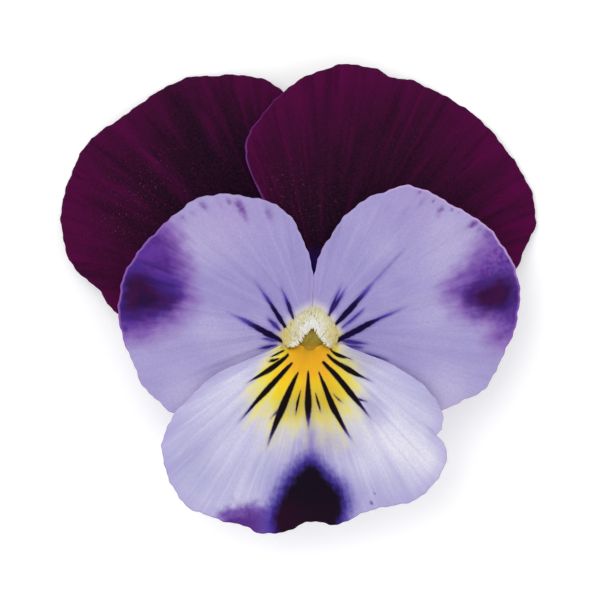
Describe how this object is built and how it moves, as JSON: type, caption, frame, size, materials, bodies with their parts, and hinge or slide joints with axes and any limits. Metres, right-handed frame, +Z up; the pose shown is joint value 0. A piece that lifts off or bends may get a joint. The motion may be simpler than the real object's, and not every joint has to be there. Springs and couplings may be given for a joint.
{
  "type": "viola flower",
  "caption": "Small viola bloom with overlapping waved petals, bearded throat, spur, sepals and short stalk, lying on its back with its face up",
  "frame": {"origin": "centre of the bounding box in plan, on the surface that the flower lies on", "axes": "+Z up, the way the face looks; +X to the right petal as seen from the front; +Y from the lower petal to the upper petals"},
  "size_m": [0.0381, 0.0377, 0.0111],
  "materials": {
    "petal_burgundy": "matte",
    "petal_lilac": "matte",
    "petal_pale": "matte",
    "sepal_green": "matte",
    "stalk_green": "satin",
    "pistil_olive": "satin",
    "anther_orange": "matte"
  },
  "bodies": {
    "root": {"petal_upper_left": "petal_burgundy", "petal_upper_right": "petal_burgundy", "petal_side_left": "petal_lilac", "petal_side_right": "petal_lilac", "petal_lower": "petal_pale", "sepal_top": "sepal_green", "sepal_left": "sepal_green", "sepal_right": "sepal_green", "sepal_lower_left": "sepal_green", "sepal_lower_right": "sepal_green", "flower_stalk": "stalk_green", "pistil": "pistil_olive", "stamen_top": "anther_orange", "stamen_left": "anther_orange", "stamen_right": "anther_orange", "stamen_lower_left": "anther_orange", "stamen_lower_right": "anther_orange"}
  },
  "joints": []
}
